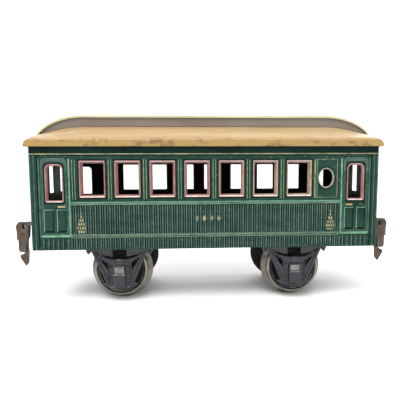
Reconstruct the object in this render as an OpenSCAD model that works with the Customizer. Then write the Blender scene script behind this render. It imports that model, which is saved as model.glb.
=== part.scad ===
// Gauge 1 tinplate passenger coach: four wheels, clerestory roof, automatic couplers.
// X runs along the coach, Y across it, Z up; the wheel flanges stand on Z = 0.
// The coach is the same after half a turn about Z, so most pieces are made once and turned.

/* [Body] */
// Length of the body over its corner posts
body_l = 220; // [212:1:228]
// Width of the body over the side sheets
body_w = 72; // [70:1:74]
// Height of the lower edge of the side sheets
skirt_z = 35.2; // [34:0.2:36]
// Height of the upper edge of the side sheets
sheet_top_z = 103.6; // [103:0.1:104]
// Thickness of the tinplate
sheet_t = 0.6; // [0.5:0.1:0.7]
// Distance of the end sheets behind the corner posts
end_inset = 3.5; // [3:0.5:4]

/* [Windows] */
// Distance between window centres
window_pitch = 21.73; // [21:0.1:22]
// Centre of the window row on the front side
window_row_x = -6.75; // [-7:0.25:-6.5]
// Width of a window frame at the face
window_w = 16; // [15.5:0.5:16.5]
// Lower edge of the window frames
window_z0 = 68.2; // [68:0.1:69]
// Upper edge of the window frames
window_z1 = 91.2; // [90:0.1:91.5]
// Depth of the funnel-shaped frames
frame_d = 3; // [2.5:0.5:3.5]
// How far the funnels narrow on each side
frame_taper = 1.4; // [1:0.1:1.6]
// Centre of the oval window along the coach
oval_x = 76; // [75.5:0.1:76.5]
// Half the width of the oval frame at the face
oval_rx = 5.3; // [5:0.1:5.6]
// Half the height of the oval frame at the face
oval_rz = 6.5; // [6:0.1:6.8]

/* [Doors] */
// Distance of the door centres from the middle
door_x = 95.2; // [95:0.1:96]
// Width of a door window frame
door_window_w = 11.2; // [11:0.2:12]
// Width of the recessed door bay
door_bay_w = 18.2; // [18:0.1:18.4]

/* [Wainscot] */
// Distance between the vertical ribs
rib_pitch = 3.0; // [3:0.1:3.2]
// Height of a rib
rib_h = 0.35; // [0.3:0.05:0.4]

/* [Wheels] */
// Distance of an axle from the middle
axle_x = 56.8; // [56:0.2:58]
// Radius of the flange
flange_r = 20.2; // [20:0.1:20.6]
// Radius of the tread
tread_r = 17; // [16.8:0.1:17.2]
// Radius of the axle
axle_r = 1.5; // [1.3:0.1:1.6]
// Radial clearance of the running fits
fit = 0.05; // [0.03:0.01:0.08]

/* [Roof] */
// Length of the roof
roof_l = 224.6; // [224:0.2:228]
// Width of the roof over the eaves
roof_w = 76; // [76:0.5:78]
// Height of the eave crease
eave_z = 104.6; // [104.5:0.1:105]
// Lower edge of the eave
eave_low_z = 99.9; // [99.5:0.1:100.5]
// Radius of the deck's arch
deck_r = 65; // [65:1:66]
// Width of the clerestory
clerestory_w = 40; // [39:0.5:41]
// Height of the cap's edge
cap_edge_z = 120.9; // [120:0.1:121]
// Height of the cap's crest
cap_crest_z = 124.6; // [124:0.1:125.5]

/* [Couplers] */
// Distance of the drawbar pivots from the middle
draw_x = 112; // [112:0.5:112.5]
// Height of the drawbar
draw_z = 47.2; // [47:0.1:47.5]
// Distance of the hook pins from the middle
hook_x = 131.4; // [131:0.1:131.6]
// Height of the hook pins
hook_z = 40.4; // [40:0.1:41]

/* [Hidden] */
$fn = 64;

half_l = body_l / 2;
half_w = body_w / 2;
end_x = half_l - end_inset;      // outer face of the end sheets
post_y = half_w - 6;             // inner edge of the corner posts
belt_z = 64.5;                   // middle of the belt rail
belt_h = 2.2;
wainscot_z = 44;                 // middle of the lower rail
rail_proud = 0.35;
window_n = 7;
window_wall = 0.5;               // thickness of the pressed frames
oval_z = 79.8;
corner_cut = 1.4;                // how low the side sheets' top corners are cut
door_z0 = 65.4;
door_z1 = 89.2;
door_frame_d = 1.4;
oval_frame_d = 1.6;
handle_z = 62.8;
floor_z = 43.4;
floor_t = 0.8;
guard_y = 33;                    // outer face of the axle guards
guard_t = 1.5;
guard_low_z = 8.2;
stretcher_t = 1;
box_w = 7.4;
box_z0 = 10.9;
box_z1 = 24;
box_split = 18.6;                // where the lid starts
box_t = 2.6;
spring_t = 2;
wheel_in = 20.6;                 // inner face of the flange
wheel_out = 29;                  // outer face of the tyre
rim_r = 15.5;                    // seat of the tyre on the wheel centre
axle_z = flange_r;
axle_end = guard_y + 1.2;
half_roof = roof_l / 2;
half_eave = roof_w / 2;
deck_c = eave_z - sqrt(pow(deck_r, 2) - pow(half_eave, 2));
bow_x = 80;                      // where the roof starts to fall towards its ends
bow_l = half_roof - bow_x;
bow_fall = 0.66;
roof_t = 0.7;
round_end = 4.4;                 // rounding of the deck's end edges
round_eave = 1.2;                // rounding of the deck's long edges
cap_half = clerestory_w / 2 + 1.2;
cap_end = 30.5;                  // length of the cap's bow
cap_end_z = 108;
cap_slant = 1.4;                 // how much the cap's ends lean
cap_t = 0.7;
clip_l = 14;
bracket_w = 10;
bracket_h = 3.8;
drawbar_t = 1.2;
rivet_r = 1.4;
cheek_t = 1;
cheek_y = 1.4;                   // inner face of the coupler's cheeks
hook_t = 1.8;
hook_pin_r = 1;

dark_green = [0.20, 0.33, 0.28];
copper_pink = [0.56, 0.42, 0.40];
tan_paint = [0.78, 0.64, 0.42];
stone_grey = [0.42, 0.38, 0.34];
cream = [0.78, 0.74, 0.56];
truck_grey = [0.28, 0.29, 0.32];
steel = [0.62, 0.60, 0.55];
rusty_tin = [0.42, 0.37, 0.34];
gold = [0.78, 0.66, 0.38];

// Places its child at the back of the coach, or at the left end, by half a turn
module half_turn() { rotate([0, 0, 180]) children(); }

// Extrudes an outline drawn in X and Z from y_out towards the inside of the front wall
module front_plate(y_out, t) {
    translate([0, -y_out + t, 0])
        rotate([90, 0, 0])
            linear_extrude(t)
                children();
}

function window_x(i) = window_row_x + window_pitch * (i - (window_n - 1) / 2);

// ---- side sheets ----
module row_openings(inset) {
    for (i = [0 : window_n - 1])
        translate([window_x(i) - window_w / 2 + inset, window_z0 + inset])
            square([window_w - 2 * inset, window_z1 - window_z0 - 2 * inset]);
}

module door_openings(inset) {
    for (s = [-1, 1])
        translate([s * door_x - door_window_w / 2 + inset, door_z0 + inset])
            square([door_window_w - 2 * inset, door_z1 - door_z0 - 2 * inset]);
}

module oval(rx, rz) {
    polygon([for (a = [0 : 10 : 350]) [rx * cos(a), rz * sin(a)]]);
}

module oval_opening(inset) {
    translate([oval_x, oval_z]) oval(oval_rx - inset, oval_rz - inset);
}

module side_sheet() {
    plate_h = sheet_top_z - skirt_z;
    difference() {
        union() {
            front_plate(half_w, sheet_t)
                translate([-half_l, skirt_z]) square([body_l, plate_h]);
            // corner posts, folded round the ends
            for (s = [-1, 1])
                translate([s * (half_l - sheet_t / 2), -(half_w + post_y) / 2, skirt_z + plate_h / 2])
                    cube([sheet_t, half_w - post_y, plate_h], center = true);
            ribs();
            rails();
            door_mouldings();
        }
        front_plate(half_w + 1, 1 + sheet_t + 0.5) {
            row_openings(window_wall);
            door_openings(window_wall);
            oval_opening(window_wall);
        }
        // top corners cut low, to clear the roof's rounded ends
        for (s = [-1, 1])
            translate([s * half_l, -half_w, sheet_top_z])
                cube([8, 14, 2 * corner_cut], center = true);
    }
}

// vertical ribs of the wainscot between the doors
module ribs() {
    span = door_x - door_bay_w / 2 - 1;
    count = floor(2 * span / rib_pitch);
    for (i = [0 : count])
        translate([(i - count / 2) * rib_pitch - 0.35, -half_w - rib_h, skirt_z])
            cube([0.7, rib_h + 0.1, belt_z - skirt_z]);
}

// belt rail, lower rail and the line under the letterboard
module rails() {
    span = door_x - door_bay_w / 2 - 0.5;
    for (rail = [[belt_z, belt_h], [wainscot_z, 2.0], [95.3, 0.7]])
        translate([-span, -half_w - rail_proud - 0.05, rail[0] - rail[1] / 2])
            cube([2 * span, rail_proud + 0.15, rail[1]]);
}

// each door bay: two stiles, a hood over the window and a ledge under the panels
module door_mouldings() {
    for (s = [-1, 1]) {
        for (e = [-1, 1])
            translate([s * door_x + e * door_bay_w / 2 - 0.5, -half_w - rail_proud, wainscot_z - 0.8])
                cube([1, rail_proud + 0.1, 92.6 - wainscot_z]);
        translate([s * door_x - door_bay_w / 2, -half_w - rail_proud, 90.4])
            cube([door_bay_w, rail_proud + 0.1, 1.8]);
        translate([s * door_x - door_bay_w / 2, -half_w - 0.8, wainscot_z - 0.8])
            cube([door_bay_w, 0.9, 1.4]);
    }
}

module side_sheet_front() { color(dark_green) side_sheet(); }
module side_sheet_back() { color(dark_green) half_turn() side_sheet(); }

// ---- end sheets ----
function arch_z(x, y) = eave_z + (deck_c + sqrt(pow(deck_r, 2) - pow(y, 2)) - eave_z) * bow(x);
function bow(x) = 1 - bow_fall * pow(max(0, abs(x) - bow_x) / bow_l, 1.8);

// the end sheet: a flat plate with an arched top that follows the roof, two windows
module end_sheet() {
    half = half_w - sheet_t - 0.05;
    top = [for (i = [-12 : 12]) [half * i / 12, arch_z(end_x, half * i / 12) - 1.9]];
    translate([end_x - sheet_t, 0, 0])
        rotate([90, 0, 90])
            linear_extrude(sheet_t)
                difference() {
                    polygon(concat([[half, skirt_z], [-half, skirt_z]], top));
                    for (s = [-1, 1])
                        translate([s * 10.3 - 3.9, 70]) square([7.8, 18.4]);
                }
    // turned-out flanges that carry the plate between the corner posts
    for (s = [-1, 1])
        translate([end_x - sheet_t, s * (post_y - sheet_t / 2) - sheet_t / 2, skirt_z])
            cube([end_inset, sheet_t, sheet_top_z - skirt_z]);
}

module end_sheet_right() { color(dark_green) end_sheet(); }
module end_sheet_left() { color(dark_green) half_turn() end_sheet(); }

// ---- window frames ----
// a pressed funnel with a rectangular mouth of w by h, centred on the axis it narrows along
module funnel(w, h, depth) {
    keep = [(w - 2 * frame_taper) / w, (h - 2 * frame_taper) / h];
    difference() {
        linear_extrude(depth, scale = keep, slices = 1) square([w, h], center = true);
        translate([0, 0, -0.01])
            linear_extrude(depth + 0.02, scale = keep, slices = 1)
                square([w - 2 * window_wall, h - 2 * window_wall], center = true);
    }
}

// stands a funnel behind the front side sheet, mouth outwards
module in_front_wall(x, z) {
    translate([x, -half_w + sheet_t, z]) rotate([-90, 0, 0]) children();
}

module window_frames() {
    for (i = [0 : window_n - 1])
        in_front_wall(window_x(i), (window_z0 + window_z1) / 2)
            funnel(window_w, window_z1 - window_z0, frame_d);
    for (s = [-1, 1])
        in_front_wall(s * door_x, (door_z0 + door_z1) / 2)
            funnel(door_window_w, door_z1 - door_z0, door_frame_d);
    in_front_wall(oval_x, oval_z)
        difference() {
            linear_extrude(oval_frame_d) oval(oval_rx, oval_rz);
            translate([0, 0, -0.01])
                linear_extrude(oval_frame_d + 0.02)
                    oval(oval_rx - window_wall, oval_rz - window_wall);
        }
}

module window_frames_front() { color(copper_pink) window_frames(); }
module window_frames_back() { color(copper_pink) half_turn() window_frames(); }

// ---- door handles ----
module door_handles() {
    for (x = [-door_x + 4.6, door_x - 4.6]) {
        translate([x, -half_w, handle_z])
            rotate([90, 0, 0])
                cylinder(h = 1, r = 0.6, $fn = 24);
        translate([x, -half_w - 1.3, handle_z])
            cube([4.6, 0.6, 1], center = true);
    }
}

module door_handles_front() { color(gold) door_handles(); }
module door_handles_back() { color(gold) half_turn() door_handles(); }

// ---- floor ----
module floor_pan() {
    color(truck_grey)
        translate([-end_x + sheet_t + 0.05, -half_w + sheet_t + 0.05, floor_z])
            cube([2 * (end_x - sheet_t - 0.05), 2 * (half_w - sheet_t - 0.05), floor_t]);
}

// ---- running gear ----
// stretchers run across under the floor and carry the guards
module stretcher(s) {
    color(truck_grey)
        translate([s * axle_x - 12, -guard_y, floor_z - stretcher_t])
            cube([24, 2 * guard_y, stretcher_t]);
}

module stretcher_left() { stretcher(-1); }
module stretcher_right() { stretcher(1); }

// height of a hanging curve that is low at the axle and rises by rise at the hangers
function sag(u, low, rise) = low + rise * pow(u / 16, 2);

// completes a half outline, drawn at x >= 0, with its mirror image
function both(half) = concat(half,
    [for (i = [len(half) - 1 : -1 : 0]) if (half[i][0] > 0) [-half[i][0], half[i][1]]]);

module guard_outline() {
    top = floor_z - stretcher_t;
    foot = [for (a = [36 : -6 : 0]) [18.8 * sin(a), guard_low_z + 18.8 * (1 - cos(a))]];
    edge = concat([[20.5, top], [20.5, 35.5], [21.4, 34], [20, 31], [18.9, 33.4], [18, 33.4],
        [14, 24.5], [9, 12.7], [11, 12.7]], foot);
    // opening between the upper plate, the arms and the pedestal
    gap = concat([for (u = [0 : 2 : 14]) [u, sag(u, 29.4, 3.8)]],
        [[10.8, 26], [7.6, 21.2], [7.6, 26.5]]);
    difference() {
        polygon(both(edge));
        polygon(both(gap));
        translate([-4.4, 28.4]) square([8.8, 6]);
        translate([0, axle_z]) circle(axle_r + fit);
    }
}

module axle_guard() {
    color(truck_grey) translate([axle_x, 0, 0]) front_plate(guard_y, guard_t) guard_outline();
}

module axle_guard_right_front() { axle_guard(); }
module axle_guard_left_back() { half_turn() axle_guard(); }
module axle_guard_left_front() { mirror([1, 0, 0]) axle_guard(); }
module axle_guard_right_back() { mirror([0, 1, 0]) axle_guard(); }

// a stack of leaves, thick over the axle box and thin at the hangers
module leaf_spring() {
    upper = [for (i = [-8 : 8]) [2 * i, sag(2 * i, 28.2, 4.4)]];
    lower = [for (i = [8 : -1 : -8]) [2 * i, sag(2 * i, 24.7, 6.6)]];
    color(truck_grey)
        translate([axle_x, 0, 0])
            front_plate(guard_y + spring_t, spring_t)
                polygon(concat(upper, lower));
}

module leaf_spring_right_front() { leaf_spring(); }
module leaf_spring_left_back() { half_turn() leaf_spring(); }
module leaf_spring_left_front() { mirror([1, 0, 0]) leaf_spring(); }
module leaf_spring_right_back() { mirror([0, 1, 0]) leaf_spring(); }

// a box with a lid line and a blind bearing hole for the axle's end
module axle_box() {
    color(truck_grey)
        difference() {
            union() {
                translate([axle_x - box_w / 2, -guard_y - box_t, box_z0])
                    cube([box_w, box_t, box_split - box_z0]);
                translate([axle_x - box_w / 2 + 0.3, -guard_y - box_t + 0.5, box_split - 0.1])
                    cube([box_w - 0.6, box_t - 0.5, box_z1 - box_split + 0.1]);
            }
            translate([axle_x, -guard_y + 0.1, axle_z])
                rotate([90, 0, 0])
                    cylinder(h = 1.6, r = axle_r + fit);
        }
}

module axle_box_right_front() { axle_box(); }
module axle_box_left_back() { half_turn() axle_box(); }
module axle_box_left_front() { mirror([1, 0, 0]) axle_box(); }
module axle_box_right_back() { mirror([0, 1, 0]) axle_box(); }

module guard_rivets() {
    for (s = [-1, 1], e = [-1, 1], z = [12.6, 16.2, 19.8, 23.4])
        translate([s * axle_x + e * 5.6, -guard_y, z])
            rotate([90, 0, 0])
                cylinder(h = 0.6, r = 0.7, $fn = 24);
    for (s = [-1, 1], e = [-1, 1])
        translate([s * axle_x + e * 18.9, -guard_y, 33])
            rotate([90, 0, 0])
                cylinder(h = 0.8, r = 0.9, $fn = 24);
}

module guard_rivets_front() { color(truck_grey) guard_rivets(); }
module guard_rivets_back() { color(truck_grey) half_turn() guard_rivets(); }

// ---- wheelsets ----
module axle(s) {
    color(steel)
        translate([s * axle_x, axle_end, axle_z])
            rotate([90, 0, 0])
                cylinder(h = 2 * axle_end, r = axle_r);
}

module axle_left() { axle(-1); }
module axle_right() { axle(1); }

// places a wheel drawn about +Z, its inner side down, at the end s and the side e
module wheel_at(s, e) {
    translate([s * axle_x, 0, axle_z]) rotate([-90 * e, 0, 0]) children();
}

module wheel_tyre(s, e) {
    seat = rim_r + 0.03;
    color(steel)
        wheel_at(s, e)
            rotate_extrude($fn = 96)
                polygon([[seat, wheel_in], [flange_r - 1, wheel_in], [flange_r - 0.2, wheel_in + 0.4],
                    [flange_r, wheel_in + 0.9], [flange_r - 0.4, wheel_in + 1.4],
                    [tread_r + 0.5, wheel_in + 1.8], [tread_r, wheel_in + 2.4],
                    [tread_r - 0.3, wheel_out], [seat, wheel_out]]);
}

module wheel_centre(s, e) {
    color(truck_grey)
        wheel_at(s, e)
            rotate_extrude($fn = 96)
                polygon([[axle_r, wheel_in - 1], [4.5, wheel_in - 1], [4.5, wheel_in + 2.4],
                    [rim_r - 1.6, wheel_in + 2.4], [rim_r - 1.6, wheel_in + 0.6],
                    [rim_r, wheel_in + 0.6], [rim_r, wheel_out - 0.5], [rim_r - 1.6, wheel_out - 0.5],
                    [rim_r - 2, wheel_in + 4.6], [4.5, wheel_in + 4.2], [4, wheel_out + 1.4],
                    [axle_r, wheel_out + 1.4]]);
}

module wheel_tyre_left_front() { wheel_tyre(-1, -1); }
module wheel_tyre_left_back() { wheel_tyre(-1, 1); }
module wheel_tyre_right_front() { wheel_tyre(1, -1); }
module wheel_tyre_right_back() { wheel_tyre(1, 1); }
module wheel_centre_left_front() { wheel_centre(-1, -1); }
module wheel_centre_left_back() { wheel_centre(-1, 1); }
module wheel_centre_right_front() { wheel_centre(1, -1); }
module wheel_centre_right_back() { wheel_centre(1, 1); }

// ---- roof ----
// distances from the edge for a rounding of radius r, from its start to the edge
function rounding(r) = [for (a = [0 : 30 : 90]) r * (1 - sin(a))];
function round_drop(r, d) = d >= r ? 0 : r - sqrt(max(0, pow(r, 2) - pow(r - d, 2)));
function mirrored(list) = concat([for (i = [len(list) - 1 : -1 : 0]) -list[i]],
    [for (v = list) if (v > 0) v]);

// stations from the middle to the edge; the last is repeated for the foot of the lip
deck_xs = mirrored(concat([0, 40, bow_x], [for (i = [1 : 9]) bow_x + (bow_l - round_end) * i / 10],
    [for (d = rounding(round_end)) half_roof - d], [half_roof]));
deck_ys = mirrored(concat([for (i = [0 : 8]) (half_eave - round_eave) * i / 9],
    [for (d = rounding(round_eave)) half_eave - d], [half_eave]));

function deck_z(x, y) = arch_z(x, y)
    - max(round_drop(round_end, half_roof - abs(x)), round_drop(round_eave, half_eave - abs(y)));

// a point of the deck's outer skin (inner = 0) or its inner one (inner = 1)
function deck_point(i, j, inner) =
    let (x = deck_xs[i], y = deck_ys[j],
        foot = i == 0 || j == 0 || i == len(deck_xs) - 1 || j == len(deck_ys) - 1)
    [x * (1 - inner * roof_t / half_roof), y * (1 - inner * roof_t / half_eave),
        foot ? eave_low_z
            : max(deck_z(x, y) - inner * (roof_t + 0.2), eave_low_z + 0.4 - 0.2 * inner)];

// closes two grids of nx by ny points, the upper one first, into one shell
module shell(points, nx, ny) {
    low = nx * ny;
    function at(i, j, k) = i * ny + j + k * low;
    upper = [for (i = [0 : nx - 2], j = [0 : ny - 2])
        [at(i, j, 0), at(i, j + 1, 0), at(i + 1, j + 1, 0), at(i + 1, j, 0)]];
    lower = [for (i = [0 : nx - 2], j = [0 : ny - 2])
        [at(i, j, 1), at(i + 1, j, 1), at(i + 1, j + 1, 1), at(i, j + 1, 1)]];
    sides_x = [for (i = [0 : nx - 2], j = [0, ny - 1])
        j == 0 ? [at(i, j, 0), at(i + 1, j, 0), at(i + 1, j, 1), at(i, j, 1)]
            : [at(i, j, 0), at(i, j, 1), at(i + 1, j, 1), at(i + 1, j, 0)]];
    sides_y = [for (j = [0 : ny - 2], i = [0, nx - 1])
        i == 0 ? [at(i, j, 0), at(i, j, 1), at(i, j + 1, 1), at(i, j + 1, 0)]
            : [at(i, j, 0), at(i, j + 1, 0), at(i, j + 1, 1), at(i, j, 1)]];
    polyhedron(points, concat(upper, lower, sides_x, sides_y), convexity = 6);
}

module roof_deck() {
    nx = len(deck_xs);
    ny = len(deck_ys);
    points = [for (k = [0, 1], i = [0 : nx - 1], j = [0 : ny - 1]) deck_point(i, j, k)];
    color(tan_paint) shell(points, nx, ny);
}

// the cap is bowed in plan and elevation: t is the angle round its end
cap_steps = concat([for (a = [-90 : 9 : -9]) a], [-1, 1], [for (a = [9 : 9 : 90]) a]);
function cap_x(t, inset) = abs(t) <= 1 ? t * bow_x : sign(t) * (bow_x + (cap_end - inset) * sin(abs(t)));
function cap_edge(t, inset) = abs(t) <= 1 ? cap_edge_z - inset
    : cap_end_z + (cap_edge_z - cap_end_z - inset) * pow(max(0, cos(t)), cap_slant);
function cap_crown(t) = (cap_crest_z - cap_edge_z) * (abs(t) <= 1 ? 1 : 0.42 + 0.58 * max(0, cos(t)));

module clerestory_cap() {
    ys = [for (j = [-8 : 8]) cap_half * j / 8];
    nx = len(cap_steps);
    ny = len(ys);
    points = [for (k = [0, 1], t = cap_steps, y = ys)
        [cap_x(t, k * cap_t), y, cap_edge(t, k * cap_t) + cap_crown(t) * (1 - pow(y / cap_half, 2))]];
    color(cream) shell(points, nx, ny);
}

// upright walls between the deck and the cap
module clerestory_walls() {
    y_out = clerestory_w / 2;
    top = [for (t = cap_steps) if (abs(t) < 80)
        [cap_x(t, 1), cap_edge(t, cap_t + 0.1)]];
    last = len(top) - 1;
    foot = [for (i = [last : -1 : 0]) [top[i][0], min(top[i][1] - 0.1, arch_z(top[i][0], y_out - 0.6) + 0.1)]];
    color(stone_grey)
        for (s = [0, 1])
            rotate([0, 0, 180 * s])
                front_plate(y_out, 0.6)
                    polygon(concat(top, foot));
}

// spring clips under the eaves that grip the inside of the side sheets
module roof_clips() {
    color(steel)
        for (x = [-60, 60], s = [-1, 1])
            translate([x - clip_l / 2, s * (half_w - sheet_t - 0.7) - 0.3, 99])
                cube([clip_l, 0.6, arch_z(0, half_w - 0.9) - 1.32 - 99]);
}

// ---- couplers ----
// each is drawn at the right-hand end
module coupler_bracket() {
    color(truck_grey)
        difference() {
            union() {
                translate([end_x, -bracket_w / 2, draw_z - bracket_h / 2]) cube([0.8, bracket_w, bracket_h]);
                for (z = [draw_z - bracket_h / 2, draw_z + bracket_h / 2 - 1])
                    translate([end_x, -bracket_w / 2, z]) cube([9, bracket_w, 1]);
            }
            translate([draw_x, 0, draw_z - 10]) cylinder(h = 20, r = rivet_r);
        }
}

module coupler_rivet() {
    color(steel) {
        translate([draw_x, 0, draw_z - bracket_h / 2]) cylinder(h = bracket_h, r = rivet_r);
        translate([draw_x, 0, draw_z + bracket_h / 2]) cylinder(h = 0.8, r = 2.4);
        translate([draw_x, 0, draw_z - bracket_h / 2 - 0.8]) cylinder(h = 0.8, r = 2.4);
    }
}

// side outline of the coupler's head, x measured from the coach's middle
module cheek_outline() {
    difference() {
        polygon([[126.6, 48.6], [133.6, 48.6], [135.4, 46], [135, 42], [134.9, 37.2], [135.4, 36.4],
            [134, 35.8], [133.8, 28.4], [133, 27.2], [130.2, 26.8], [128.8, 27.6], [128.4, 35.6],
            [127.2, 38]]);
        translate([128.8, 43.8]) square([2.2, 3.4]);
        translate([hook_x, hook_z]) circle(hook_pin_r);
    }
}

module drawbar() {
    color(rusty_tin) {
        difference() {
            union() {
                translate([draw_x, 0, draw_z - drawbar_t / 2]) cylinder(h = drawbar_t, r = 3.6);
                translate([draw_x, -3, draw_z - drawbar_t / 2]) cube([16, 6, drawbar_t]);
                translate([126.6, -cheek_y - cheek_t, 47.2])
                    cube([7.4, 2 * (cheek_y + cheek_t), 1.4]);
                for (y = [-cheek_y, cheek_y + cheek_t])
                    translate([0, y, 0])
                        rotate([90, 0, 0])
                            linear_extrude(cheek_t)
                                cheek_outline();
            }
            translate([draw_x, 0, draw_z - 5]) cylinder(h = 10, r = rivet_r + fit);
        }
    }
}

module hook_pin() {
    color(steel)
        translate([hook_x, cheek_y + cheek_t + 0.3, hook_z])
            rotate([90, 0, 0])
                cylinder(h = 2 * (cheek_y + cheek_t + 0.3), r = hook_pin_r);
}

// the hook hangs from its pin by a round eye; its barb points outwards
module coupler_hook() {
    eye = [for (a = [-20 : 20 : 200]) [hook_x + 2.4 * cos(a), hook_z + 2.4 * sin(a)]];
    color(rusty_tin)
        difference() {
            translate([0, hook_t / 2, 0])
                rotate([90, 0, 0])
                    linear_extrude(hook_t)
                        polygon(concat(eye, [[127.6, 27], [128.2, 18.6], [130, 16.6], [133.6, 22.6],
                            [133.8, 24.4], [130.4, 26.2], [131.4, 30]]));
            translate([hook_x, hook_t, hook_z])
                rotate([90, 0, 0])
                    cylinder(h = 2 * hook_t, r = hook_pin_r + fit);
        }
}

module coupler_bracket_right() { coupler_bracket(); }
module coupler_bracket_left() { half_turn() coupler_bracket(); }
module coupler_rivet_right() { coupler_rivet(); }
module coupler_rivet_left() { half_turn() coupler_rivet(); }
module drawbar_right() { drawbar(); }
module drawbar_left() { half_turn() drawbar(); }
module hook_pin_right() { hook_pin(); }
module hook_pin_left() { half_turn() hook_pin(); }
module coupler_hook_right() { coupler_hook(); }
module coupler_hook_left() { half_turn() coupler_hook(); }

side_sheet_front();
side_sheet_back();
end_sheet_left();
end_sheet_right();
window_frames_front();
window_frames_back();
door_handles_front();
door_handles_back();
floor_pan();
stretcher_left();
stretcher_right();
axle_guard_left_front();
axle_guard_left_back();
axle_guard_right_front();
axle_guard_right_back();
leaf_spring_left_front();
leaf_spring_left_back();
leaf_spring_right_front();
leaf_spring_right_back();
axle_box_left_front();
axle_box_left_back();
axle_box_right_front();
axle_box_right_back();
guard_rivets_front();
guard_rivets_back();
coupler_bracket_left();
coupler_bracket_right();
coupler_rivet_left();
coupler_rivet_right();
roof_deck();
clerestory_walls();
clerestory_cap();
roof_clips();
axle_left();
axle_right();
wheel_tyre_left_front();
wheel_tyre_left_back();
wheel_tyre_right_front();
wheel_tyre_right_back();
wheel_centre_left_front();
wheel_centre_left_back();
wheel_centre_right_front();
wheel_centre_right_back();
drawbar_left();
drawbar_right();
hook_pin_left();
hook_pin_right();
coupler_hook_left();
coupler_hook_right();
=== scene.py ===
"""Looks of the tinplate passenger coach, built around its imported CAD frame."""
import math

import bmesh
import bpy
from mathutils import Matrix, Vector


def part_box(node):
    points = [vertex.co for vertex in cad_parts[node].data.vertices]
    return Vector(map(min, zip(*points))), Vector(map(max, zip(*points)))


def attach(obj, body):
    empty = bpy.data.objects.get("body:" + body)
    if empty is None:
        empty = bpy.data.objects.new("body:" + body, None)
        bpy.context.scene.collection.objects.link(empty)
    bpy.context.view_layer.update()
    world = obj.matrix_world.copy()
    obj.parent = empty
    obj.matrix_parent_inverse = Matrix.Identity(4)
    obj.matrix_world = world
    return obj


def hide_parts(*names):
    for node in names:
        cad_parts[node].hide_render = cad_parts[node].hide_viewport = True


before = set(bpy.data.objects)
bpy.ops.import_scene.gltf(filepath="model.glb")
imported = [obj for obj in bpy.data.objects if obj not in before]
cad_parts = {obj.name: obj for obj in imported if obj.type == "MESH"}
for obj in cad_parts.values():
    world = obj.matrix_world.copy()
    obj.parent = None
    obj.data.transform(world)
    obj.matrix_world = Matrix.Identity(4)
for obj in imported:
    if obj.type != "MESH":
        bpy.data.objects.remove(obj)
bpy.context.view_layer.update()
MM = 0.001
scene = bpy.context.scene


def corners(node):
    """A CAD node's lowest and highest corner in millimetres."""
    low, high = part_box(node)
    return [v / MM for v in low], [v / MM for v in high]


# ---- driving sizes, in millimetres, from the frame ----
SHEET_LOW, SHEET_HIGH = corners("side_sheet_front")
ROOF_LOW, ROOF_HIGH = corners("roof_deck")
CAP_HIGH = corners("clerestory_cap")[1]
AXLE_LOW, AXLE_HIGH = corners("axle_right")
TYRE_LOW, TYRE_HIGH = corners("wheel_tyre_right_back")
BOX_LOW, BOX_HIGH = corners("axle_box_right_front")
GUARD_LOW, GUARD_HIGH = corners("axle_guard_right_front")

HALF_L = SHEET_HIGH[0]
HALF_W = 36.0
SHEET_T = 0.6
SKIRT_Z = SHEET_LOW[2]
SHEET_TOP = SHEET_HIGH[2]
CORNER_RUN, CORNER_CUT = 4.0, 1.4
WINDOW_PITCH = 21.73
ROW_X = -6.75
WINDOW_W = 16.0
WINDOW_Z = (68.2, 91.2)
FRAME_D = 3.0
TAPER = 1.4
OVAL_X, OVAL_Z = 76.0, 79.8
OVAL_R = (5.3, 6.5)
DOOR_FRAME_D = 1.4
OVAL_FRAME_D = 1.6
DOOR_X = 95.2
DOOR_WINDOW_W = 11.2
DOOR_Z = (65.4, 89.2)
DOOR_HEAD = 92.8
HOOD_FOOT = 84.0
BAY_W = 18.2
RIB_PITCH = 3.0
RIB_FOOT = SKIRT_Z + 0.15
BELT_Z = 64.5
RAIL_Z = 44.0
GOLD_Z = 95.3
STACK_X = 79.2


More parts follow.
